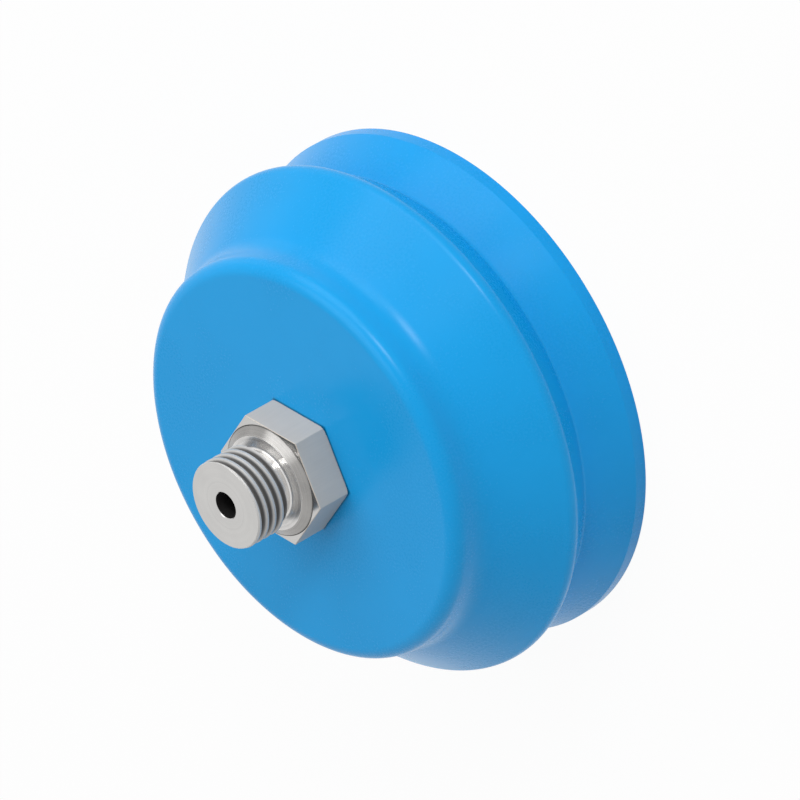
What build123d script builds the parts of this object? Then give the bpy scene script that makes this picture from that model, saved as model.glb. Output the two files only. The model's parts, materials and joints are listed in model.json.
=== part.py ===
from build123d import *
from math import atan, cos, degrees, radians, sin, tan
import os

# Bellows suction cup with one and a half folds on a threaded nipple.
# Millimetres and degrees. The cup stands on its lip at z = 0, its axis is Z and the thread points up.
# Cone angles are measured from the axis. Both pieces are solids of revolution, but for the hexagon.

# Outside of the bellows, from the head down to the lip
head_diameter = 64.2
head_height = 31.55
head_side = 5.45
head_edge_radius = 2.3
shoulder_radius = 4.8
crest_diameter = 80.9
crest_height = 15.35
crest_radius = 1.75
valley_diameter = 73.4
valley_height = 9.45
lip_diameter = 80.1
rim_height = 2.1

# Inside of the bellows, where the mould core leaves sharp corners
head_thickness = 4.85
fold_wall = 2.55
lip_wall = 2.1

# Nipple: hexagon, turned collar and M14 x 1.5 thread
hexagon_across_flats = 18.0
hexagon_height = 5.95
rear_corner_cut = 0.55
rear_chamfer_angle = 60.0
collar_step = 0.1
collar_slope = 1.4
collar_height = 1.05
thread_major_diameter = 14.0
thread_length = 9.15
thread_chamfer = 0.2
undercut_diameter = 11.0
undercut_width = 1.5
runout_length = 0.65
bore_diameter = 4.2

# Nipple: neck and flange that hold it in the head
neck_diameter = 11.6
flange_diameter = 17.0
flange_rim = 1.3
flange_taper = 1.7
flange_end_diameter = 10.6


def meet(first, second):
    """Return the point where two lines of the section cross, each a point and a direction."""
    (p, d), (q, e) = first, second
    step = ((q.X - p.X) * e.Y - (q.Y - p.Y) * e.X) / (d.X * e.Y - d.Y * e.X)
    return p + d * step


def beside(line, distance):
    """Return the parallel line on the axis side of a line that runs downwards."""
    point, direction = line
    return point + Vector(direction.Y, -direction.X) * distance, direction


def tangent_angle(centre, radius, point):
    """Return the slope from the axis of the line through a point that wraps a circle's outside."""
    gap = centre - point
    reach = (gap.X**2 + gap.Y**2 - radius**2) ** 0.5
    return degrees(atan(gap.X / abs(gap.Y)) + atan(radius / reach))


def bellows_section():
    """Return the moulded wall's half section, as a face in the XZ plane."""
    head = head_diameter / 2
    lip = lip_diameter / 2
    hole = neck_diameter / 2
    underside = head_height - head_thickness

    # Outside: both cones wrap the circle of the crest.
    crest_centre = Vector(crest_diameter / 2 - crest_radius, crest_height)
    shoulder = Vector(head, head_height - head_side)
    valley = Vector(valley_diameter / 2, valley_height)
    rim = Vector(lip, rim_height)
    upper = radians(tangent_angle(crest_centre, crest_radius, shoulder))
    lower = radians(tangent_angle(crest_centre, crest_radius, valley))
    upper_cone = (shoulder, Vector(sin(upper), -cos(upper)))
    lower_cone = (valley, Vector(-sin(lower), -cos(lower)))
    lip_cone = (valley, (rim - valley).normalized())
    crest = meet(upper_cone, lower_cone)

    # Inside: the same cones, one wall further in.
    ceiling = (Vector(0, underside), Vector(1, 0))
    floor = (Vector(0, 0), Vector(1, 0))
    inner_upper = beside(upper_cone, fold_wall)
    inner_lower = beside(lower_cone, fold_wall)
    inner_lip = beside(lip_cone, lip_wall)

    corners = [
        (Vector(hole, head_height), 0),
        (Vector(head, head_height), head_edge_radius),
        (shoulder, shoulder_radius),
        (crest, crest_radius),
        (valley, 0),
        (rim, 0),
        (Vector(lip, 0), 0),
        (meet(inner_lip, floor), 0),
        (meet(inner_lower, inner_lip), 0),
        (meet(inner_upper, inner_lower), 0),
        (meet(inner_upper, ceiling), 0),
        (Vector(hole, underside), 0),
    ]
    return section(corners)


def nipple_section():
    """Return the turned fitting's half section, without its hexagon, as a face in the XZ plane."""
    bore = bore_diameter / 2
    neck = neck_diameter / 2
    flange = flange_diameter / 2
    undercut = undercut_diameter / 2
    thread = thread_major_diameter / 2
    collar_base = hexagon_across_flats / 2 - collar_step
    collar_top = collar_base - collar_slope

    front = head_height + hexagon_height
    collar = front + collar_height
    end = front + thread_length
    underside = head_height - head_thickness
    flange_foot = underside - flange_rim
    bottom = flange_foot - flange_taper

    corners = [
        (Vector(bore, bottom), 0),
        (Vector(flange_end_diameter / 2, bottom), 0),
        (Vector(flange, flange_foot), 0),
        (Vector(flange, underside), 0),
        (Vector(neck, underside), 0),
        (Vector(neck, head_height), 0),
        (Vector(collar_base, head_height), 0),
        (Vector(collar_base, front), 0),
        (Vector(collar_top, collar), 0),
        (Vector(undercut, collar), 0),
        (Vector(undercut, collar + undercut_width), 0),
        (Vector(thread, collar + undercut_width + runout_length), 0),
        (Vector(thread, end - thread_chamfer), 0),
        (Vector(thread - thread_chamfer, end), 0),
        (Vector(bore, end), 0),
    ]
    return section(corners)


def section(corners):
    """Return the face in the XZ plane inside corners given as (point, rounding radius)."""
    points = [point for point, _ in corners]
    radii = [radius for _, radius in corners]
    with BuildSketch(Plane.XZ) as sketch:
        with BuildLine():
            FilletPolyline(*points, radius=radii, close=True)
        make_face()
    return sketch.sketch


def hexagon():
    """Return the spanner hexagon, with the corners of its lower face turned off."""
    prism = extrude(
        RegularPolygon(hexagon_across_flats / 2, side_count=6, major_radius=False),
        hexagon_height,
    )
    across_corners = hexagon_across_flats / cos(radians(30))
    chamfer_foot = across_corners / 2 - rear_corner_cut
    spread = hexagon_height * tan(radians(rear_chamfer_angle))
    envelope = Cone(
        chamfer_foot,
        chamfer_foot + spread,
        hexagon_height,
        align=(Align.CENTER, Align.CENTER, Align.MIN),
    )
    drill = Cylinder(
        neck_diameter / 2,
        hexagon_height,
        align=(Align.CENTER, Align.CENTER, Align.MIN),
    )
    return Pos(0, 0, head_height) * ((prism & envelope) - drill)


def make_bellows():
    """Return the elastomer cup as one solid."""
    return revolve(bellows_section(), Axis.Z)


def make_nipple():
    """Return the metal fitting as one solid."""
    return revolve(nipple_section(), Axis.Z) + hexagon()


def save(name, shape):
    """Write one piece to its STEP file, under its own name."""
    shape.label = name
    export_step(shape, f"parts/{name}.step")
    print(f"{name}: {shape.volume:.1f} cubic mm, {shape.bounding_box()}")


os.makedirs("parts", exist_ok=True)
save("bellows", make_bellows())
save("nipple", make_nipple())
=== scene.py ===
import json
import logging
import math
from dataclasses import dataclass
from enum import Enum
from typing import Any, Sequence

import bpy
import numpy as np
from mathutils import Matrix, Vector

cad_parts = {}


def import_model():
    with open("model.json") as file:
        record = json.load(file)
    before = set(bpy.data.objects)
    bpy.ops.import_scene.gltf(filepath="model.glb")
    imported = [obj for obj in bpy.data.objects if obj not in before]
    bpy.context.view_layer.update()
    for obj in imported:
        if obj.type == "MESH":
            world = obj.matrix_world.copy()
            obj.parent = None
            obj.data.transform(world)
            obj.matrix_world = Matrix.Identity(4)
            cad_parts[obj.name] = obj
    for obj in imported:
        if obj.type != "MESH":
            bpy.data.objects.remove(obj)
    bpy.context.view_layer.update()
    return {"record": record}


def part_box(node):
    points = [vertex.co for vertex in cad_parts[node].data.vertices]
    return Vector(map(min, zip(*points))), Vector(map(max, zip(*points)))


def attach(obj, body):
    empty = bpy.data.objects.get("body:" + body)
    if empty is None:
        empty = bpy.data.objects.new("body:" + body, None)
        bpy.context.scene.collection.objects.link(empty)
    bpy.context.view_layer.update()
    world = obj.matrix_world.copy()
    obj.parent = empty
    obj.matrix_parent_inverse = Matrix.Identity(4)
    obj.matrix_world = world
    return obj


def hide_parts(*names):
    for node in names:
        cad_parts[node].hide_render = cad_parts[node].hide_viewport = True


# A bellows suction cup: a moulded elastomer wall on a turned and milled nipple.
# The axis is Z and the lip lies on z = 0. The pieces' sizes are in millimetres and become metres
# when a mesh is made. The noise scales and reliefs of the materials and the studio are in metres.

LOG = logging.getLogger("suction_cup")
MM = 0.001
SHARP_ANGLE = math.radians(32)
WELD_DISTANCE = 1e-8
SHORTEST_RUN = 1e-6
HALF_SIDE = math.radians(30)
WHITE = (1.0, 1.0, 1.0, 1.0)

Colour = tuple[float, float, float]
Line = tuple[np.ndarray, np.ndarray]


class Surface(Enum):
    """How a band of the nipple is finished. The value is its material slot."""

    TURNED = 0
    MILLED = 1
    # Painted shade: the bore's wall is nearly black for the shade inside it.
    BORED = 2
    # Painted shade: the cone is a darker copy of the turned metal.
    COLLAR = 3
    # Painted light: the ring and the undercut are a lighter copy of the turned metal.
    UNDERCUT = 4


class Marks(Enum):
    """Which way a tool's marks run on metal."""

    ROUND_THE_AXIS = "turned"
    ALONG_THE_AXIS = "milled"


# A row of the nipple: its radius, its height and the surface of the band that begins there.
# The radius and the height are one number each, or one for each column.
Row = tuple[Any, Any, Surface]


# Outlines


@dataclass(frozen=True)
class Corner:
    """A corner of an outline in the plane of the axis: radius, height and rounding, in mm."""

    r: float
    z: float
    rounding: float = 0.0

    @property
    def point(self) -> np.ndarray:
        """The corner as a point of radius and height."""
        return np.array([self.r, self.z])


def unit(vector: np.ndarray) -> np.ndarray:
    """Return the vector at length one."""
    return vector / np.linalg.norm(vector)


def meet(first: Line, second: Line) -> np.ndarray:
    """Return the point where two lines cross.

    Args:
        first: A point of the line and its direction.
        second: The same for the other line.

    Returns:
        The point of radius and height that lies on both.
    """
    (p, d), (q, e) = first, second
    step = ((q[0] - p[0]) * e[1] - (q[1] - p[1]) * e[0]) / (d[0] * e[1] - d[1] * e[0])
    return p + d * step


def beside(line: Line, distance: float) -> Line:
    """Return the parallel line on the axis side of a line that runs downwards."""
    point, direction = line
    return point + np.array([direction[1], -direction[0]]) * distance, direction


def wrap_angle(centre: np.ndarray, radius: float, point: np.ndarray) -> float:
    """Return the slope from the axis of the line through a point that wraps a circle's outside.

    It is the slope of the line to the centre, and the angle whose tangent is the radius over the
    length from the point to where the line touches.

    Args:
        centre: The circle's centre.
        radius: The circle's radius, in mm.
        point: A point outside the circle.

    Returns:
        The angle in radians.
    """
    gap = centre - point
    reach = math.sqrt(gap @ gap - radius**2)
    return math.atan(gap[0] / abs(gap[1])) + math.atan(radius / reach)


def corner_arc(before: np.ndarray, corner: Corner, after: np.ndarray, step: float) -> np.ndarray:
    """Return the points of one rounded corner.

    The arc touches each side at rounding / tan(half angle) from the corner. Its points are the
    circular blend of its first and its last spoke: each spoke's share is the sine of the angle
    left to the other one, over the sine of the whole sweep.

    Args:
        before: The corner that comes first along the outline.
        corner: The corner to round.
        after: The corner that follows.
        step: The largest angle between two points of the arc, in radians.

    Returns:
        Points of radius and height, in rows.
    """
    if corner.rounding == 0:
        return corner.point[None]
    back, forth = unit(before - corner.point), unit(after - corner.point)
    half = 0.5 * math.acos(float(np.clip(back @ forth, -1, 1)))
    reach = corner.rounding / math.tan(half)
    centre = corner.point + unit(back + forth) * corner.rounding / math.sin(half)
    sweep = math.pi - 2 * half
    share = np.linspace(0, sweep, max(2, math.ceil(sweep / step)) + 1)[:, None]
    first = corner.point + back * reach - centre
    last = corner.point + forth * reach - centre
    return centre + (np.sin(sweep - share) * first + np.sin(share) * last) / math.sin(sweep)


def straight(start: np.ndarray, end: np.ndarray, margin: float, longest: float) -> np.ndarray:
    """Return the points inside a straight run.

    One point lies a margin from each end, so that the shading of a rounded corner stays there,
    and the rest are evenly spaced between those two.

    Args:
        start: Where the run starts.
        end: Where it ends.
        margin: Distance of the first and last point from the ends, in mm.
        longest: The largest spacing, in mm.

    Returns:
        Points of radius and height, in rows.
    """
    length = float(np.linalg.norm(end - start))
    if length < SHORTEST_RUN:
        return np.empty((0, 2))
    inset = min(margin, length / 3)
    count = max(1, math.ceil((length - 2 * inset) / longest)) + 1
    along = np.linspace(inset, length - inset, count)[:, None] / length
    return start + along * (end - start)


def outline(
    corners: Sequence[Corner],
    closed: bool,
    step: float = math.radians(6),
    margin: float = 0.2,
    longest: float = 2.6,
) -> np.ndarray:
    """Return an outline as points: each corner's arc, then the run to the next corner.

    Args:
        corners: The corners in order. A closed outline runs anticlockwise, with radius to the
            right and height up. The ends of an open one aren't rounded.
        closed: Whether the last corner joins the first.
        step: The largest angle between two points of an arc, in radians.
        margin: Distance of a run's first point from its end, in mm.
        longest: The largest spacing along a run, in mm.

    Returns:
        Points of radius and height, in rows.
    """
    points = [corner.point for corner in corners]
    before = points[-1:] + points[:-1]
    after = points[1:] + points[:1]
    arcs = [corner_arc(*trio, step) for trio in zip(before, corners, after)]
    following = arcs[1:] + arcs[:1]
    parts = []
    for arc, next_arc in zip(arcs, following):
        parts += [arc, straight(arc[-1], next_arc[0], margin, longest)]
    return np.vstack(parts if closed else parts[:-1])


# Meshes


@dataclass
class Lattice:
    """Rows of points round the axis, from which quads are made.

    Attributes:
        radius: Radii in mm, one row of the array for each row of points.
        height: Heights in mm, of the same shape.
        angle: The angle of each column, in radians.
        ring: Whether the last column joins the first.
        loop: Whether the last row joins the first.
        surface: The material slot of the band that begins at each row.
    """

    radius: np.ndarray
    height: np.ndarray
    angle: np.ndarray
    ring: bool
    loop: bool
    surface: np.ndarray

    def points(self) -> np.ndarray:
        """Return the points: radius times cosine and sine of the angle, and height.

        Returns:
            One point in a row, in metres.
        """
        x = self.radius * np.cos(self.angle)
        y = self.radius * np.sin(self.angle)
        return np.stack([x, y, self.height], -1).reshape(-1, 3) * MM

    def quads(self) -> tuple[np.ndarray, np.ndarray]:
        """Return the quads between neighbouring rows and columns.

        Returns:
            The four points of each quad, and each quad's material slot.
        """
        rows, columns = self.radius.shape
        i = np.arange(rows if self.loop else rows - 1)[:, None]
        j = np.arange(columns if self.ring else columns - 1)[None, :]
        up, on = (i + 1) % rows, (j + 1) % columns
        corners = [i * columns + j, i * columns + on, up * columns + on, up * columns + j]
        faces = np.stack(corners, -1).reshape(-1, 4)
        return faces, np.repeat(self.surface[: i.size], j.size)


def make_object(
    name: str, lattices: Sequence[Lattice], materials: Sequence[bpy.types.Material]
) -> bpy.types.Object:
    """Join lattices into one closed mesh object at the origin.

    Args:
        name: The piece's name.
        lattices: Grids whose touching borders have the same points, which are welded.
        materials: The materials, in the order of the slots.

    Returns:
        The object, linked to the scene, smooth but for its sharp edges.
    """
    vertices, faces, slots, start = [], [], [], 0
    for lattice in lattices:
        points = lattice.points()
        quads, surface = lattice.quads()
        vertices.append(points)
        faces.append(quads + start)
        slots.append(surface)
        start += len(points)
    points, quads, triangles, quad_slots, triangle_slots = weld(
        np.vstack(vertices), np.vstack(faces), np.concatenate(slots)
    )
    mesh = bpy.data.meshes.new(name)
    mesh.from_pydata(points.tolist(), [], quads.tolist() + triangles.tolist())
    for material in materials:
        mesh.materials.append(material)
    slot_of_face = np.concatenate([quad_slots, triangle_slots]).astype(np.int32)
    mesh.polygons.foreach_set("material_index", slot_of_face)
    mesh.polygons.foreach_set("use_smooth", np.ones(len(mesh.polygons), bool))
    mesh.set_sharp_from_angle(angle=SHARP_ANGLE)
    mesh.update()

    piece = bpy.data.objects.new(name, mesh)
    bpy.context.scene.collection.objects.link(piece)
    open_edges = 2 * len(mesh.edges) - 4 * len(quads) - 3 * len(triangles)
    LOG.info("%s: %d faces, %d open edges", name, len(mesh.polygons), open_edges)
    return piece


def weld(points: np.ndarray, quads: np.ndarray, slots: np.ndarray) -> tuple[np.ndarray, ...]:
    """Join the points that lie in one place, and keep the faces that still have an area.

    Points are the same where their coordinates agree after rounding. A quad of which one side
    has shrunk to a point becomes a triangle, and one that has shrunk further goes.

    Args:
        points: All points, in metres.
        quads: The points of each quad, in order round it.
        slots: The material slot of each quad.

    Returns:
        The points left, the quads, the triangles, and the slots of both.
    """
    cells = np.round(points / WELD_DISTANCE).astype(np.int64)
    _, kept, place = np.unique(cells, axis=0, return_index=True, return_inverse=True)
    quads = place.reshape(-1)[quads]
    shrunk = quads == np.roll(quads, -1, axis=1)
    whole = ~shrunk.any(axis=1)
    pinched = shrunk.sum(axis=1) == 1
    triangles = quads[pinched][~shrunk[pinched]].reshape(-1, 3)
    return points[kept], quads[whole], triangles, slots[whole], slots[pinched]


# Materials


class Number:
    """A number in a material. Arithmetic on it adds Math nodes, also with a plain number."""

    def __init__(self, board: "Board", socket: bpy.types.NodeSocket) -> None:
        """Wrap an output socket of the board."""
        self.board = board
        self.socket = socket

    def __add__(self, other: "Number | float") -> "Number":
        """Return the sum."""
        return self.board.math("ADD", self, other)

    def __radd__(self, other: float) -> "Number":
        """Return the sum with a plain number first."""
        return self.board.math("ADD", other, self)

    def __sub__(self, other: "Number | float") -> "Number":
        """Return the difference."""
        return self.board.math("SUBTRACT", self, other)

    def __rsub__(self, other: float) -> "Number":
        """Return the difference with a plain number first."""
        return self.board.math("SUBTRACT", other, self)

    def __mul__(self, other: "Number | float") -> "Number":
        """Return the product."""
        return self.board.math("MULTIPLY", self, other)

    def __rmul__(self, other: float) -> "Number":
        """Return the product with a plain number first."""
        return self.board.math("MULTIPLY", other, self)

    def __pow__(self, other: "Number | float") -> "Number":
        """Return the power."""
        return self.board.math("POWER", self, other)

    def __rpow__(self, other: float) -> "Number":
        """Return the power with a plain number as its base."""
        return self.board.math("POWER", other, self)


class Board:
    """The node tree of one material, or of the surroundings."""

    def __init__(self, owner: "bpy.types.Material | bpy.types.World") -> None:
        """Empty the node tree.

        Args:
            owner: The material or the world that has the tree.
        """
        self.owner = owner
        self.owner.use_nodes = True
        self.tree = self.owner.node_tree
        self.tree.nodes.clear()

    @classmethod
    def named(cls, name: str) -> "Board":
        """Return the board of a new material."""
        return cls(bpy.data.materials.new(name))

    def node(self, kind: str, settings: dict[str, Any], inputs: dict[Any, Any]) -> bpy.types.Node:
        """Add a node.

        Args:
            kind: The node's type.
            settings: Its properties, set first.
            inputs: For each input socket, by name or number, a link or a value.

        Returns:
            The node.
        """
        node = self.tree.nodes.new(kind)
        for key, value in settings.items():
            setattr(node, key, value)
        for key, value in inputs.items():
            socket = node.inputs[key]
            value = value.socket if isinstance(value, Number) else value
            if isinstance(value, bpy.types.NodeSocket):
                self.tree.links.new(value, socket)
            else:
                socket.default_value = value
        return node

    def math(self, operation: str, *values: "Number | float") -> Number:
        """Add a Math node and return its result."""
        made = self.node("ShaderNodeMath", {"operation": operation}, dict(enumerate(values)))
        return Number(self, made.outputs[0])

    def position(self) -> bpy.types.NodeSocket:
        """Return the place on the piece, in metres."""
        return self.node("ShaderNodeTexCoord", {}, {}).outputs["Object"]

    def axes(self) -> tuple[Number, Number, Number]:
        """Return the place on the piece as three numbers."""
        split = self.node("ShaderNodeSeparateXYZ", {}, {"Vector": self.position()})
        return tuple(Number(self, socket) for socket in split.outputs)

    def vector(self, x: "Number | float", y: "Number | float", z: "Number | float") -> Any:
        """Return three numbers as one vector socket."""
        return self.node("ShaderNodeCombineXYZ", {}, {0: x, 1: y, 2: z}).outputs[0]

    def noise(self, place: Any, scale: float, detail: float = 2.0, rough: float = 0.5) -> Number:
        """Return soft noise from 0 to 1, with about `scale` blobs a metre of the place given."""
        inputs = {"Vector": place, "Scale": scale, "Detail": detail, "Roughness": rough}
        return Number(self, self.node("ShaderNodeTexNoise", {}, inputs).outputs[0])

    def ease(self, value: Number, low: float, high: float) -> Number:
        """Return 0 below low, 1 above high and a smooth step between.

        Args:
            value: The number to ease.
            low: Where the step begins.
            high: Where it ends.

        Returns:
            The eased number.
        """
        settings = {"interpolation_type": "SMOOTHSTEP"}
        inputs = {"Value": value, "From Min": low, "From Max": high}
        return Number(self, self.node("ShaderNodeMapRange", settings, inputs).outputs[0])

    def contrast(self, noise: Number) -> Number:
        """Return noise with its middle values, where most of it lies, stretched to 0 to 1."""
        return self.ease(noise, 0.35, 0.65)

    def blend(self, share: Any, first: Any, second: Any) -> bpy.types.NodeSocket:
        """Return a colour between two.

        Args:
            share: 0 for the first colour, 1 for the second.
            first: A colour or a socket.
            second: The same for the other.

        Returns:
            The socket of the blended colour.
        """
        pair = [(*c, 1) if isinstance(c, tuple) else c for c in (first, second)]
        inputs = {0: share, 6: pair[0], 7: pair[1]}
        return self.node("ShaderNodeMix", {"data_type": "RGBA"}, inputs).outputs[2]

    def bump(self, height: Number, depth: float) -> bpy.types.NodeSocket:
        """Return a normal for a relief that is `depth` metres deep."""
        return self.node("ShaderNodeBump", {}, {"Height": height, "Distance": depth}).outputs[0]

    def principled(self, inputs: dict[str, Any]) -> bpy.types.Material:
        """Close the material with a Principled shader and return it."""
        shader = self.node("ShaderNodeBsdfPrincipled", {}, inputs)
        return self.surface(shader.outputs[0])

    def surface(self, shader: bpy.types.NodeSocket) -> bpy.types.Material:
        """Use a shader as the surface and return the material."""
        self.node("ShaderNodeOutputMaterial", {}, {"Surface": shader})
        return self.owner


@dataclass(frozen=True)
class Elastomer:
    """Satin blue moulded elastomer, with faint lines from the turned mould and a fine grain.

    Attributes:
        flat_radius: Distance of the hexagon's flats from the axis, in mm.
        head_height: Height of the head's face, in mm.
        blotch_share: The blotches' share in the uneven gloss; the grain has the rest.
        mould_line_share: The mould lines' share in the relief; the grain has the rest.
        contact_shade_share: How much of its colour the painted contact shadow round the hexagon
            has.
        contact_shade_width: How far the painted contact shadow reaches beyond the flats, in mm.
        contact_shade_depths: Depths below the head's face between which the painted contact shadow
            sets in, in mm.
    """

    flat_radius: float
    head_height: float
    colour: Colour = (0.004, 0.365, 0.815)
    deep: Colour = (0.003, 0.350, 0.785)
    roughness: float = 0.27
    roughness_spread: float = 0.08
    specular: float = 0.21
    blotch_scale: float = 55.0
    blotch_share: float = 0.6
    grain_scale: float = 2600.0
    mould_line_scale: float = 1500.0
    mould_line_share: float = 0.3
    relief: float = 0.000002
    # Painted shade: the colour of the contact shadow painted on the head round the hexagon.
    contact_shade_colour: Colour = (0.004, 0.10, 0.24)
    contact_shade_share: float = 0.75
    contact_shade_width: float = 0.35
    contact_shade_depths: tuple[float, float] = (0.3, 0.1)

    def contact_shade_mask(self, board: Board, x: Number, y: Number, z: Number) -> Number:
        """Return where the painted contact shadow round the hexagon is.

        The hexagon's reach at a place is the largest distance along the normals of its three
        pairs of flats: y, and x times cosine 30 degrees plus or minus y times sine 30 degrees.

        Args:
            board: The material's board.
            x: The place along X, in metres.
            y: The place along Y, in metres.
            z: The place along Z, in metres.

        Returns:
            1 on the head close to the hexagon and 0 away from it.
        """
        along, across = x * math.cos(HALF_SIDE), y * math.sin(HALF_SIDE)
        normals = (along + across, along - across, y)
        first, second, third = (board.math("ABSOLUTE", number) for number in normals)
        reach = board.math("MAXIMUM", board.math("MAXIMUM", first, second), third)
        contact_shade_end = (self.flat_radius + self.contact_shade_width) * MM
        deep, shallow = ((self.head_height - depth) * MM for depth in self.contact_shade_depths)
        near = 1 - board.ease(reach, self.flat_radius * MM, contact_shade_end)
        return near * board.ease(z, deep, shallow)

    def material(self) -> bpy.types.Material:
        """Return the material: blotches mix the two blues, grain and mould lines give the relief.

        A thin dark line of painted shade lies on the head where the hexagon rests on it, for its
        contact shadow.

        Returns:
            The new material.
        """
        board = Board.named("blue_elastomer")
        place = board.position()
        x, y, z = board.axes()
        radius = (x * x + y * y) ** 0.5
        blotches = board.noise(place, self.blotch_scale, detail=4.0, rough=0.55)
        grain = board.noise(place, self.grain_scale, detail=3.0, rough=0.6)
        lines = board.noise(board.vector(radius, z, 0.0), self.mould_line_scale, detail=1.0)
        blue = board.blend(board.contrast(blotches), self.colour, self.deep)
        # Painted shade: a dark line round the hexagon stands in for its contact shadow on the
        # head.
        contact_shade = self.contact_shade_mask(board, x, y, z) * self.contact_shade_share
        uneven = blotches * self.blotch_share + grain * (1 - self.blotch_share)
        surface = grain * (1 - self.mould_line_share) + lines * self.mould_line_share
        return board.principled(
            {
                "Base Color": board.blend(contact_shade, blue, self.contact_shade_colour),
                "Roughness": self.roughness + (uneven - 0.5) * self.roughness_spread,
                "Specular IOR Level": self.specular,
                "Normal": board.bump(surface, self.relief),
            }
        )


@dataclass(frozen=True)
class ThreadShade:
    """What sets a thread apart on turned metal: it is duller and rougher, and its grooves have
    painted shade.

    Attributes:
        crest: Radius of the crests, in mm.
        foot: Height at which the undercut ends, in mm.
        end: Height of the end face, in mm.
        foot_fade: Height below the foot over which the shade sets in, in mm.
        end_depths: Depths below the end face between which it goes, in mm.
        core: Radii between which it sets in, in mm.
        groove_shade_depths: Depths below the crests where the painted groove shade is darkest and
            where it begins.
        colour: The painted shade of the grooves, a dark colour for the shade that falls in them.
        dulling: How much of the metallic share goes.
        roughening: What is added to the roughness.
    """

    crest: float
    foot: float
    end: float
    foot_fade: float = 0.3
    end_depths: tuple[float, float] = (0.03, 0.01)
    core: tuple[float, float] = (5.8, 6.0)
    groove_shade_depths: tuple[float, float] = (0.46, 0.12)
    colour: Colour = (0.13, 0.126, 0.122)
    dulling: float = 0.88
    roughening: float = 0.15

    def on_thread(self, board: Board, radius: Number, z: Number) -> Number:
        """Return where the thread is.

        Args:
            board: The material's board.
            radius: Distance from the axis, in metres.
            z: Height, in metres.

        Returns:
            1 on the crests and in the grooves, and 0 on the end face and in the undercut.
        """
        past_foot = board.ease(z, (self.foot - self.foot_fade) * MM, self.foot * MM)
        low, high = ((self.end - depth) * MM for depth in self.end_depths)
        outside = board.ease(radius, self.core[0] * MM, self.core[1] * MM)
        return past_foot * (1 - board.ease(z, low, high)) * outside

    def painted_groove_shade(self, board: Board, radius: Number) -> Number:
        """Return the painted groove shade: 0 where it begins below the crests, and 1 from where it
        is darkest.
        """
        dark, light = ((self.crest - depth) * MM for depth in self.groove_shade_depths)
        return 1 - board.ease(radius, dark, light)


@dataclass(frozen=True)
class Metal:
    """Machined metal with fine tool marks, which may draw the gloss out into streaks.

    Attributes:
        name: The material's name.
        marks: Which way the tool marks run.
        colour: The colour where the surface is bright.
        dull: The colour where it is dull.
        streaking: How far the gloss is drawn out across turned marks, from 0 to 1.
        streak_turn: The turn of the streaks from the shader's own direction, which runs round Z.
        marks_share: The marks' share in the dullness; the cloud has the rest.
        milled_height: The share of the height that counts in milled marks, which draws them out.
        thread: What sets the thread apart, with the painted shade of its grooves, where the
            surface has one.
    """

    name: str
    marks: Marks = Marks.ROUND_THE_AXIS
    colour: Colour = (0.585, 0.578, 0.565)
    dull: Colour = (0.545, 0.538, 0.528)
    metallic: float = 0.92
    roughness: float = 0.15
    roughness_spread: float = 0.08
    streaking: float = 0.0
    streak_turn: float = 0.25
    marks_scale: float = 5200.0
    marks_share: float = 0.6
    milled_height: float = 0.04
    cloud_scale: float = 260.0
    cloud_spread: float = 0.06
    relief: float = 0.0000014
    thread: ThreadShade | None = None

    def material(self) -> bpy.types.Material:
        """Return the material.

        Turned marks are noise that depends only on the radius and the height, so they run round
        the axis. Milled marks are noise drawn out along the axis into long streaks.

        Returns:
            The new material.
        """
        board = Board.named(self.name)
        x, y, z = board.axes()
        radius = (x * x + y * y) ** 0.5
        if self.marks is Marks.ROUND_THE_AXIS:
            place = board.vector(radius, z, 0.0)
        else:
            place = board.vector(x, y, z * self.milled_height)
        marks = board.noise(place, self.marks_scale, detail=3.0, rough=0.6)
        cloud = board.noise(board.position(), self.cloud_scale, detail=3.0)
        bright = board.contrast(marks * self.marks_share + cloud * (1 - self.marks_share))
        colour = board.blend(bright, self.dull, self.colour)
        uneven = (marks - 0.5) * self.roughness_spread
        roughness = self.roughness + uneven + (0.5 - cloud) * self.cloud_spread
        metallic: Number | float = self.metallic
        if self.thread:
            on_thread = self.thread.on_thread(board, radius, z)
            # Painted shade: the grooves get a dark colour that stands in for the shade in them.
            groove = on_thread * self.thread.painted_groove_shade(board, radius)
            colour = board.blend(groove, colour, self.thread.colour)
            metallic = self.metallic * (1 - on_thread * self.thread.dulling)
            roughness = roughness + on_thread * self.thread.roughening
        return board.principled(
            {
                "Base Color": colour,
                "Metallic": metallic,
                "Roughness": roughness,
                "Anisotropic": self.streaking,
                "Anisotropic Rotation": self.streak_turn,
                "Normal": board.bump(marks, self.relief),
            }
        )


@dataclass(frozen=True)
class BorePaintedShade:
    """The wall of the drilled hole: nearly black, a painted shade for the dark inside of the hole,
    as it shows in the end face.
    """

    colour: Colour = (0.012, 0.011, 0.011)
    light: Colour = (0.02, 0.019, 0.019)
    metallic: float = 0.3
    roughness: float = 0.5
    roughness_spread: float = 0.1
    marks_scale: float = 4000.0
    relief: float = 0.000005

    def material(self) -> bpy.types.Material:
        """Return the material, with drill marks round the axis.

        Returns:
            The new material.
        """
        board = Board.named("dark_bore")
        x, y, z = board.axes()
        place = board.vector((x * x + y * y) ** 0.5, z, 0.0)
        marks = board.noise(place, self.marks_scale)
        return board.principled(
            {
                "Base Color": board.blend(marks, self.colour, self.light),
                "Metallic": self.metallic,
                "Roughness": self.roughness + marks * self.roughness_spread,
                "Normal": board.bump(marks, self.relief),
            }
        )


# The pieces


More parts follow.
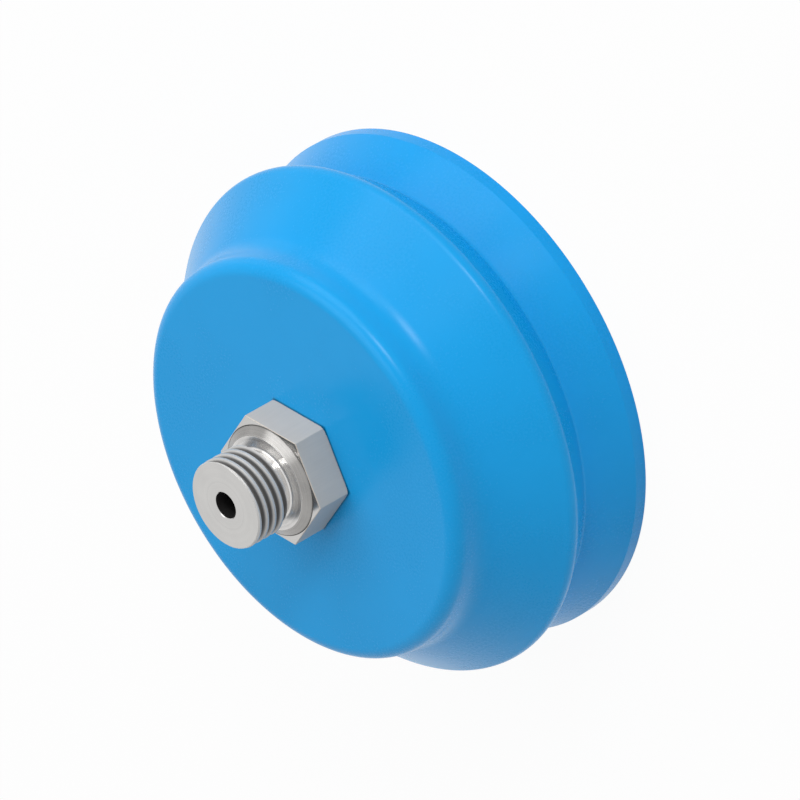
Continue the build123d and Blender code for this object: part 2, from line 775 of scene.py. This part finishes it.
@dataclass
class BellowsWall:
    """The moulded cup: thick head, one fold, a valley and a thin lip. Sizes in mm."""

    crest_diameter: float
    head_height: float
    head_diameter: float = 64.2
    head_side: float = 5.45
    head_edge: float = 2.3
    shoulder: float = 4.8
    crest_height: float = 15.35
    crest_rounding: float = 1.75
    valley_diameter: float = 73.4
    valley_height: float = 9.45
    valley_rounding: float = 0.65
    lip_diameter: float = 80.1
    rim_height: float = 2.1
    rim_break: float = 0.18
    lip_break: float = 0.08
    land_break: float = 0.4
    head_thickness: float = 4.85
    fold_wall: float = 2.55
    lip_wall: float = 2.1
    inner_valley: float = 2.1
    inner_crest: float = 0.85
    inner_head: float = 2.65
    neck_diameter: float = 11.6
    columns: int = 360

    @classmethod
    def from_frame(cls) -> "BellowsWall":
        """Return the wall with the fold's width and the head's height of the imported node."""
        low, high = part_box("bellows")
        return cls(crest_diameter=(high.x - low.x) / MM, head_height=high.z / MM)

    def corners(self) -> list[Corner]:
        """Return the corners of the wall's section.

        Outside, both cones of the fold wrap the circle of the crest. Inside, the same cones lie
        one wall nearer the axis.

        Returns:
            The corners, anticlockwise from the hole in the ceiling.
        """
        head, lip, hole = self.head_diameter / 2, self.lip_diameter / 2, self.neck_diameter / 2
        ceiling_height = self.head_height - self.head_thickness
        circle = np.array([self.crest_diameter / 2 - self.crest_rounding, self.crest_height])
        shoulder = np.array([head, self.head_height - self.head_side])
        valley = np.array([self.valley_diameter / 2, self.valley_height])
        rim = np.array([lip, self.rim_height])
        upper_slope = wrap_angle(circle, self.crest_rounding, shoulder)
        lower_slope = wrap_angle(circle, self.crest_rounding, valley)
        upper = (shoulder, np.array([math.sin(upper_slope), -math.cos(upper_slope)]))
        lower = (valley, np.array([-math.sin(lower_slope), -math.cos(lower_slope)]))
        flare = (valley, unit(rim - valley))
        ceiling = (np.array([0, ceiling_height]), np.array([1, 0]))
        floor = (np.array([0, 0]), np.array([1, 0]))
        inner_upper = beside(upper, self.fold_wall)
        inner_lower = beside(lower, self.fold_wall)
        inner_flare = beside(flare, self.lip_wall)
        return [
            Corner(hole, ceiling_height),
            Corner(*meet(inner_upper, ceiling), self.inner_head),
            Corner(*meet(inner_upper, inner_lower), self.inner_crest),
            Corner(*meet(inner_lower, inner_flare), self.inner_valley),
            Corner(*meet(inner_flare, floor), self.land_break),
            Corner(lip, 0, self.lip_break),
            Corner(lip, self.rim_height, self.rim_break),
            Corner(*valley, self.valley_rounding),
            Corner(*meet(upper, lower), self.crest_rounding),
            Corner(*shoulder, self.shoulder),
            Corner(head, self.head_height, self.head_edge),
            Corner(hole, self.head_height),
        ]

    def build(self) -> bpy.types.Object:
        """Turn the section round the axis.

        Returns:
            The piece.
        """
        points = outline(self.corners(), closed=True)
        angle = np.linspace(0, 2 * math.pi, self.columns, endpoint=False)
        radius = np.repeat(points[:, :1], self.columns, 1)
        height = np.repeat(points[:, 1:], self.columns, 1)
        surface = np.zeros(len(points), int)
        grid = Lattice(radius, height, angle, ring=True, loop=True, surface=surface)
        rubber = Elastomer(flat_radius=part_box("nipple")[1].y / MM, head_height=self.head_height)
        return make_object("bellows_wall", [grid], [rubber.material()])

    def dress(self) -> bpy.types.Object:
        """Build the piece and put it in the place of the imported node.

        Returns:
            The piece.
        """
        piece = self.build()
        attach(piece, "root")
        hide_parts("bellows")
        return piece


# The standard form of a metric thread, in pitches
STANDARD_FLAT = 0.125
STANDARD_DEPTH = 0.6134
ROOT_RADIUS = 0.1443
FLANK_END = 0.375


def turned_path(corners: Sequence[Corner]) -> np.ndarray:
    """Return the radius and height of each row of a turned stretch."""
    return outline(corners, closed=False, margin=0.1, longest=1.2)


def turned_rows(corners: Sequence[Corner]) -> list[Row]:
    """Return the rows of a plain turned stretch."""
    return [(r, z, Surface.TURNED) for r, z in turned_path(corners)]


@dataclass
class ThreadedNipple:
    """The metal fitting: thread, collar, hexagon, and the flange inside the head.

    Sizes are in mm, but for the crest's flat, which is in pitches. The crest height is where the
    middle of one crest stands at the angle 0. The face ring and the rear ring are where the
    plain rows of the end face begin and where those under the hexagon end.
    """

    bottom: float
    end: float
    across_corners: float
    thread_radius: float
    bore_radius: float
    head_height: float
    head_thickness: float
    neck_radius: float
    hexagon_height: float = 5.95
    corner_rounding: float = 0.2
    edge_break: float = 0.09
    rear_cut: float = 0.55
    rear_break: float = 0.15
    rear_slope: float = math.radians(60)
    rear_ring: float = 8.5
    collar_step: float = 0.1
    collar_slope: float = 1.4
    collar_height: float = 1.05
    collar_edge: float = 0.06
    collar_relief: float = 0.14
    undercut_radius: float = 5.5
    undercut_width: float = 1.5
    undercut_fillet: float = 0.37
    runout: float = 0.65
    end_chamfer: float = 0.2
    face_ring: float = 5.5
    bore_break: float = 0.12
    bore_levels: int = 12
    pitch: float = 1.5
    crest_flat: float = 0.2
    crest_height: float = 45.255
    thread_start: float = 0.45
    flange_radius: float = 8.5
    flange_rim: float = 1.3
    flange_end: float = 5.3
    flat_start: float = 1.0
    flat_levels: int = 5
    columns_per_side: int = 48

    @classmethod
    def from_frame(cls, record: dict[str, Any], wall: BellowsWall) -> "ThreadedNipple":
        """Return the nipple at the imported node's size.

        Args:
            record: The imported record, which gives the radii of the thread and the bore.
            wall: The wall that holds the nipple.

        Returns:
            The nipple.
        """
        low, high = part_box("nipple")
        radii = {m["name"]: m["dims"].get("r_mm", 0.0) for m in record["mounts"]}
        return cls(
            bottom=low.z / MM,
            end=high.z / MM,
            across_corners=(high.x - low.x) / MM,
            thread_radius=radii["thread"],
            bore_radius=radii["vacuum_bore"],
            head_height=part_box("bellows")[1].z / MM,
            head_thickness=wall.head_thickness,
            neck_radius=wall.neck_diameter / 2,
        )

    @property
    def flat_radius(self) -> float:
        """Distance of the hexagon's flats from the axis."""
        return self.across_corners / 2 * math.cos(HALF_SIDE)

    @property
    def front(self) -> float:
        """Height of the hexagon's front face."""
        return self.head_height + self.hexagon_height

    @property
    def collar(self) -> float:
        """Height of the flat ring round the undercut."""
        return self.front + self.collar_height

    @property
    def thread_foot(self) -> float:
        """Height at which the undercut ends."""
        return self.collar + self.undercut_width

    def columns(self) -> np.ndarray:
        """Return the columns, evenly spaced, with more near each corner.

        Returns:
            Their angles in radians, rising.
        """
        side = 2 * HALF_SIDE
        even = np.arange(self.columns_per_side) / self.columns_per_side * side
        close = self.corner_reach() * np.array([-1, -0.67, -0.33, 0.33, 0.67, 1])
        one_side = np.concatenate([even, close])
        return np.sort((one_side[None] + side * np.arange(6)[:, None]).ravel() % (2 * math.pi))

    def corner_reach(self) -> float:
        """Return how far a corner's rounding reaches.

        Returns:
            The angle from the corner to where its rounding meets the flat, in radians.
        """
        centre = (self.flat_radius - self.corner_rounding) / math.cos(HALF_SIDE)
        sideways = self.corner_rounding * math.sin(HALF_SIDE)
        return math.atan(sideways / (centre + self.corner_rounding * math.cos(HALF_SIDE)))

    def hexagon(self, angle: np.ndarray) -> np.ndarray:
        """Return the hexagon's radius at each angle.

        On a flat it is the flat's distance over the cosine of the angle from the flat's middle.
        Near a corner it is where the ray meets the circle that rounds the corner.

        Args:
            angle: Angles in radians. The corners lie at whole multiples of 60 degrees.

        Returns:
            Radii in mm.
        """
        from_corner = (angle + HALF_SIDE) % (2 * HALF_SIDE) - HALF_SIDE
        flat = self.flat_radius / np.cos(HALF_SIDE - np.abs(from_corner))
        centre = (self.flat_radius - self.corner_rounding) / math.cos(HALF_SIDE)
        inside = np.maximum(self.corner_rounding**2 - (centre * np.sin(from_corner)) ** 2, 0)
        rounded = centre * np.cos(from_corner) + np.sqrt(inside)
        return np.where(np.abs(from_corner) < self.corner_reach(), rounded, flat)

    def groove(self, turn: np.ndarray) -> np.ndarray:
        """Return how far the thread's surface lies below its crest.

        Over one pitch, with 0 at the middle of a crest: nothing on the crest's flat, then the
        straight flank at 30 degrees, then the arc of the root. A flat that is wider than the
        standard one takes as much off the standard depth as the flanks' slope says.

        Args:
            turn: Places along the axis, in pitches.

        Returns:
            Depths in mm.
        """
        away = 0.5 - np.abs((turn % 1) - 0.5)
        flank = (away - self.crest_flat / 2) * math.sqrt(3)
        inside = np.maximum(ROOT_RADIUS**2 - (0.5 - away) ** 2, 0)
        shallower = (self.crest_flat / 2 - STANDARD_FLAT / 2) * math.sqrt(3)
        arc = STANDARD_DEPTH - shallower - ROOT_RADIUS + np.sqrt(inside)
        return np.maximum(np.where(away < FLANK_END, flank, arc), 0) * self.pitch

    def envelope(self, height: np.ndarray) -> np.ndarray:
        """Return the turned blank's radius: run-out cone, cylinder, end chamfer.

        Args:
            height: Heights in mm.

        Returns:
            Radii in mm.
        """
        rise = (height - self.thread_foot) / self.runout
        foot = self.undercut_radius + (self.thread_radius - self.undercut_radius) * rise
        tip = self.thread_radius - (height - self.end + self.end_chamfer)
        return np.minimum(np.minimum(foot, tip), self.thread_radius)

    def thread_surface(self, angle: np.ndarray, height: np.ndarray) -> np.ndarray:
        """Return the radius of the threaded part: the groove cut into the turned blank.

        The groove's depth grows evenly from nothing at the end face to its full depth one start
        length below it, so that the end face stays round.

        Args:
            angle: Angles in radians.
            height: Heights in mm.

        Returns:
            Radii in mm.
        """
        turn = (height - self.crest_height) / self.pitch - angle / (2 * math.pi)
        share = np.clip((self.end - height) / self.thread_start, 0, 1)
        return np.minimum(self.thread_radius - self.groove(turn) * share, self.envelope(height))

    def thread_lattice(self) -> Lattice:
        """Return the thread as a grid whose rows follow the helix.

        A row's height is the crest's height plus its own place in pitches plus the angle's share
        of a turn, times the pitch. Rows that leave the threaded length are held at its ends,
        where their points fall together and are welded. Over half a pitch the rows lie at the
        crest's middle and close by its edge, on the flank and in the root.

        Returns:
            The grid, from one end of the thread to the other.
        """
        edge, close = self.crest_flat / 2, 0.03
        flank_and_root = [0.2, 0.3, FLANK_END, 0.40, 0.43, 0.465]
        half = [0, edge - close, edge, edge + close] + flank_and_root
        phases = np.array(half + [0.5] + [1 - place for place in half[:0:-1]])
        angle = np.append(self.columns(), 2 * math.pi)
        first = math.floor((self.thread_foot - self.crest_height) / self.pitch) - 1
        last = math.ceil((self.end - self.crest_height) / self.pitch)
        turns = (np.arange(first, last + 1)[:, None] + phases).ravel()
        height = self.crest_height + self.pitch * (turns[:, None] + angle / (2 * math.pi))
        height = np.clip(height, self.thread_foot, self.end)
        radius = self.thread_surface(angle, height)
        surface = np.full(len(turns), Surface.TURNED.value)
        return Lattice(radius, height, angle, ring=False, loop=False, surface=surface)

    def end_rows(self, angle: np.ndarray) -> list[Row]:
        """Return the rows of the end face and the bore.

        Args:
            angle: The columns' angles, in radians.

        Returns:
            The rows, inwards from the thread's end and down through the bore.
        """
        rim = self.thread_surface(angle, np.full_like(angle, self.end))
        mouth = self.bore_radius + self.bore_break
        levels = np.linspace(
            self.end - self.bore_break, self.bottom + self.bore_break, self.bore_levels
        )
        rows = [(rim, self.end, Surface.TURNED)]
        rows += turned_rows([Corner(self.face_ring, self.end), Corner(mouth, self.end)])
        return rows + [(self.bore_radius, z, Surface.BORED) for z in levels]

    def flange_rows(self) -> list[Row]:
        """Return the rows of the flange and the neck.

        Returns:
            The rows, from the bore's lower mouth to the hexagon's rear face.
        """
        edge, underside = self.edge_break, self.head_height - self.head_thickness
        return turned_rows(
            [
                Corner(self.bore_radius + self.bore_break, self.bottom),
                Corner(self.flange_end, self.bottom, edge),
                Corner(self.flange_radius, underside - self.flange_rim, edge),
                Corner(self.flange_radius, underside, edge),
                Corner(self.neck_radius, underside),
                Corner(self.neck_radius, self.head_height),
                Corner(self.rear_ring, self.head_height),
            ]
        )

    def hexagon_rows(self, angle: np.ndarray) -> list[Row]:
        """Return the rows of the hexagon, whose rear corners are turned off.

        Args:
            angle: The columns' angles, in radians.

        Returns:
            The rows, from the rear face up the flats to the front face.
        """
        hexagon, edge = self.hexagon(angle), self.edge_break
        turned_foot = np.minimum(hexagon, self.across_corners / 2 - self.rear_cut)
        rear = self.head_height + (hexagon - turned_foot) / math.tan(self.rear_slope)
        broken = self.head_height + self.rear_break
        levels = np.linspace(
            self.head_height + self.flat_start, self.front - edge * 2, self.flat_levels
        )
        return [
            (turned_foot - self.rear_break, self.head_height, Surface.MILLED),
            (turned_foot, broken, Surface.MILLED),
            (hexagon, np.maximum(rear, broken), Surface.MILLED),
            *[(hexagon, z, Surface.MILLED) for z in levels],
            (hexagon, self.front - edge, Surface.MILLED),
            (hexagon - edge, self.front, Surface.TURNED),
        ]

    def collar_rows(self) -> list[Row]:
        """Return the rows of the cone with the fine groove at its foot, the ring and the undercut.

        Returns:
            The rows, from the hexagon's front face to the thread's foot.
        """
        base, relief = self.flat_radius - self.collar_step, self.collar_relief
        rise = relief * self.collar_height / self.collar_slope
        path = turned_path(
            [
                Corner(base, self.front),
                Corner(base - relief / 2, self.front - relief),
                Corner(base - relief, self.front + rise),
                Corner(base - self.collar_slope, self.collar, self.collar_edge),
                Corner(self.undercut_radius, self.collar, self.undercut_fillet),
                Corner(self.undercut_radius, self.thread_foot),
            ]
        )
        cone_end = self.collar - self.collar_edge
        return [(r, z, Surface.COLLAR if z < cone_end else Surface.UNDERCUT) for r, z in path]

    def body_lattice(self) -> Lattice:
        """Return everything but the thread as one grid of rows round the axis.

        Returns:
            The grid, from the end face through the bore and up the outside to the undercut.
        """
        angle = self.columns()
        rows = self.end_rows(angle) + self.flange_rows()
        rows += self.hexagon_rows(angle) + self.collar_rows()
        radius = np.array([np.broadcast_to(row[0], angle.shape) for row in rows], float)
        height = np.array([np.broadcast_to(row[1], angle.shape) for row in rows], float)
        surface = np.array([row[2].value for row in rows])
        return Lattice(radius, height, angle, ring=True, loop=False, surface=surface)

    def finishes(self) -> list[bpy.types.Material]:
        """Return the materials.

        Colours and metallic shares were set by level to match the photograph in this
        studio, not measured on metal: the cone is darker than the ring above it, and the flats
        and the thread are hardly metallic.

        Returns:
            One material for each surface, in the order of the slots.
        """
        thread = ThreadShade(crest=self.thread_radius, foot=self.thread_foot, end=self.end)
        finish = {
            Surface.TURNED: Metal("turned_metal", thread=thread),
            Surface.MILLED: Metal(
                "milled_metal",
                marks=Marks.ALONG_THE_AXIS,
                colour=(0.63, 0.555, 0.482),
                dull=(0.60, 0.529, 0.459),
                metallic=0.08,
                roughness=0.40,
                marks_scale=2600.0,
            ),
            # Painted shade: a nearly black bore wall for the shade inside it.
            Surface.BORED: BorePaintedShade(),
            # Painted shade: the cone is a darker copy of the turned metal, for the shade it shows
            # in this light.
            Surface.COLLAR: Metal(
                "collar_metal",
                colour=(0.38, 0.372, 0.36),
                dull=(0.29, 0.284, 0.275),
                metallic=0.88,
                roughness=0.26,
                roughness_spread=0.14,
                streaking=0.8,
                marks_scale=3600.0,
                relief=0.000003,
            ),
            # Painted light: the ring and the undercut are a lighter copy of the turned metal, for
            # the light they catch.
            Surface.UNDERCUT: Metal(
                "undercut_metal",
                colour=(0.76, 0.75, 0.735),
                dull=(0.58, 0.57, 0.558),
                metallic=0.90,
                roughness=0.25,
                roughness_spread=0.14,
                streaking=0.85,
                marks_scale=3600.0,
                relief=0.000003,
            ),
        }
        return [finish[surface].material() for surface in Surface]

    def dress(self) -> bpy.types.Object:
        """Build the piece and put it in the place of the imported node.

        Returns:
            The piece.
        """
        grids = [self.body_lattice(), self.thread_lattice()]
        piece = make_object("threaded_nipple", grids, self.finishes())
        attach(piece, "root")
        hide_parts("nipple")
        return piece


# The studio


@dataclass(frozen=True)
class View:
    """The photographer's place: on the thread's side, with the axis leaning in the picture."""

    azimuth: float = math.radians(14.45)
    elevation: float = math.radians(35.9)
    roll: float = math.radians(-119.54)
    distance: float = 1.4598
    across: float = 0.01896
    above: float = 0.01172
    lens: float = 450.0
    sensor: float = 36.0
    nearest: float = 0.05
    farthest: float = 20.0

    def axes(self) -> tuple[Vector, Vector, Vector]:
        """Return the picture's directions.

        Returns:
            Right, up, and towards the camera.
        """
        a, e = self.azimuth, self.elevation
        back = Vector((math.sin(a) * math.cos(e), -math.cos(a) * math.cos(e), math.sin(e)))
        level = Vector((math.cos(a), math.sin(a), 0))
        upright = back.cross(level)
        right = level * math.cos(self.roll) + upright * math.sin(self.roll)
        up = upright * math.cos(self.roll) - level * math.sin(self.roll)
        return right, up, back

    def place(self, target: Vector) -> bpy.types.Object:
        """Make the scene's camera.

        Args:
            target: The point from which the camera's offsets are measured.

        Returns:
            The camera.
        """
        right, up, back = self.axes()
        data = bpy.data.cameras.new("camera")
        data.lens, data.sensor_width = self.lens, self.sensor
        data.clip_start, data.clip_end = self.nearest, self.farthest
        camera = bpy.data.objects.new("camera", data)
        turn = Matrix((right, up, back)).transposed().to_4x4()
        place = target + right * self.across + up * self.above + back * self.distance
        camera.matrix_world = Matrix.Translation(place) @ turn
        bpy.context.scene.collection.objects.link(camera)
        bpy.context.scene.camera = camera
        return camera


@dataclass(frozen=True)
class SoftBox:
    """A square lamp, placed by the picture's right, up and towards-camera directions."""

    name: str
    right: float
    up: float
    towards: float
    level: float
    size: float = 0.9
    distance: float = 1.3

    def place(self, view: View, target: Vector) -> bpy.types.Object:
        """Make the lamp, facing the target.

        Its power is the level, which is what a white surface facing it renders, times the square
        of pi and of the distance.

        Args:
            view: The view whose directions place the lamp.
            target: What the lamp faces.

        Returns:
            The lamp.
        """
        right, up, back = view.axes()
        aim = (right * self.right + up * self.up + back * self.towards).normalized()
        data = bpy.data.lights.new(self.name, "AREA")
        data.shape, data.size = "SQUARE", self.size
        data.energy = self.level * (math.pi * self.distance) ** 2
        lamp = bpy.data.objects.new(self.name, data)
        turn = aim.to_track_quat("Z", "Y").to_matrix().to_4x4()
        lamp.matrix_world = Matrix.Translation(target + aim * self.distance) @ turn
        bpy.context.scene.collection.objects.link(lamp)
        return lamp


@dataclass(frozen=True)
class Studio:
    """The pale floor, the white surroundings and the lamps."""

    floor_size: float = 6.0
    floor_drop: float = 0.0001
    floor_colour: Colour = (0.86, 0.86, 0.86)
    floor_roughness: float = 0.8
    floor_roughness_spread: float = 0.1
    floor_noise_scale: float = 40.0
    shown_white: float = 0.95
    sky_level: float = 0.48
    boxes: tuple[SoftBox, ...] = (
        SoftBox("key_box", right=-0.39, up=0.80, towards=0.45, level=0.33, size=1.0),
        SoftBox(
            "side_box", right=-0.80, up=0.10, towards=0.60, level=0.26, size=0.28, distance=0.38
        ),
        SoftBox("front_box", right=-0.09, up=0.475, towards=0.875, level=0.25, size=0.34),
        SoftBox("rim_box", right=-0.55, up=0.76, towards=-0.34, level=0.04, size=0.6),
    )

    def seen_directly(self, board: Board) -> Number:
        """Return which rays show the white background.

        Args:
            board: The board of the floor or of the surroundings.

        Returns:
            1 for rays from the camera, mirrors and glass, and 0 for light on the object.
        """
        rays = board.node("ShaderNodeLightPath", {}, {})
        names = ("Is Camera Ray", "Is Glossy Ray", "Is Transmission Ray")
        camera, glossy, through = (Number(board, rays.outputs[name]) for name in names)
        return board.math("MINIMUM", camera + glossy + through, 1.0)

    def floor_material(self) -> bpy.types.Material:
        """Return a matt pale material that shows as white and keeps a faint shadow.

        Returns:
            The new material.
        """
        board = Board.named("pale_floor")
        uneven = board.noise(board.position(), self.floor_noise_scale)
        roughness = self.floor_roughness + uneven * self.floor_roughness_spread
        matt_inputs = {"Color": (*self.floor_colour, 1), "Roughness": roughness}
        matt = board.node("ShaderNodeBsdfDiffuse", {}, matt_inputs)
        white = board.node("ShaderNodeEmission", {}, {"Color": WHITE, "Strength": 1.0})
        share = self.seen_directly(board) * self.shown_white
        parts = {0: share, 1: matt.outputs[0], 2: white.outputs[0]}
        return board.surface(board.node("ShaderNodeMixShader", {}, parts).outputs[0])

    def lay_floor(self) -> bpy.types.Object:
        """Make the floor, a square sheet just under the lip.

        Returns:
            The floor.
        """
        half = self.floor_size / 2
        corners = [(-half, -half), (half, -half), (half, half), (-half, half)]
        mesh = bpy.data.meshes.new("floor")
        mesh.from_pydata([(x, y, -self.floor_drop) for x, y in corners], [], [(0, 1, 2, 3)])
        mesh.materials.append(self.floor_material())
        floor = bpy.data.objects.new("floor", mesh)
        bpy.context.scene.collection.objects.link(floor)
        return floor

    def light_sky(self) -> None:
        """Make the surroundings: an even white, full where seen and plain where it lights."""
        world = bpy.data.worlds.new("surroundings")
        bpy.context.scene.world = world
        board = Board(world)
        levels = (self.sky_level, 1.0)
        light, shown = (
            board.node("ShaderNodeBackground", {}, {"Color": WHITE, "Strength": level})
            for level in levels
        )
        parts = {0: self.seen_directly(board), 1: light.outputs[0], 2: shown.outputs[0]}
        mix = board.node("ShaderNodeMixShader", {}, parts)
        board.node("ShaderNodeOutputWorld", {}, {"Surface": mix.outputs[0]})

    def set_up(self, view: View, target: Vector) -> None:
        """Make the floor, the surroundings and the lamps.

        Args:
            view: The view whose directions place the lamps.
            target: What the lamps face.
        """
        self.lay_floor()
        self.light_sky()
        for box in self.boxes:
            box.place(view, target)
        bpy.context.scene.view_settings.view_transform = "Standard"


def main() -> None:
    """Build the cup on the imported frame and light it."""
    logging.basicConfig(level=logging.INFO, format="%(name)s %(message)s")
    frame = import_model()

    wall = BellowsWall.from_frame()
    nipple = ThreadedNipple.from_frame(frame["record"], wall)
    view = View()
    target = Vector((0, 0, nipple.front * MM))
    view.place(target)
    for piece in (wall.dress(), nipple.dress()):
        LOG.info("%s rides on the root body", piece.name)
    Studio().set_up(view, target)


if __name__ == "__main__":
    main()
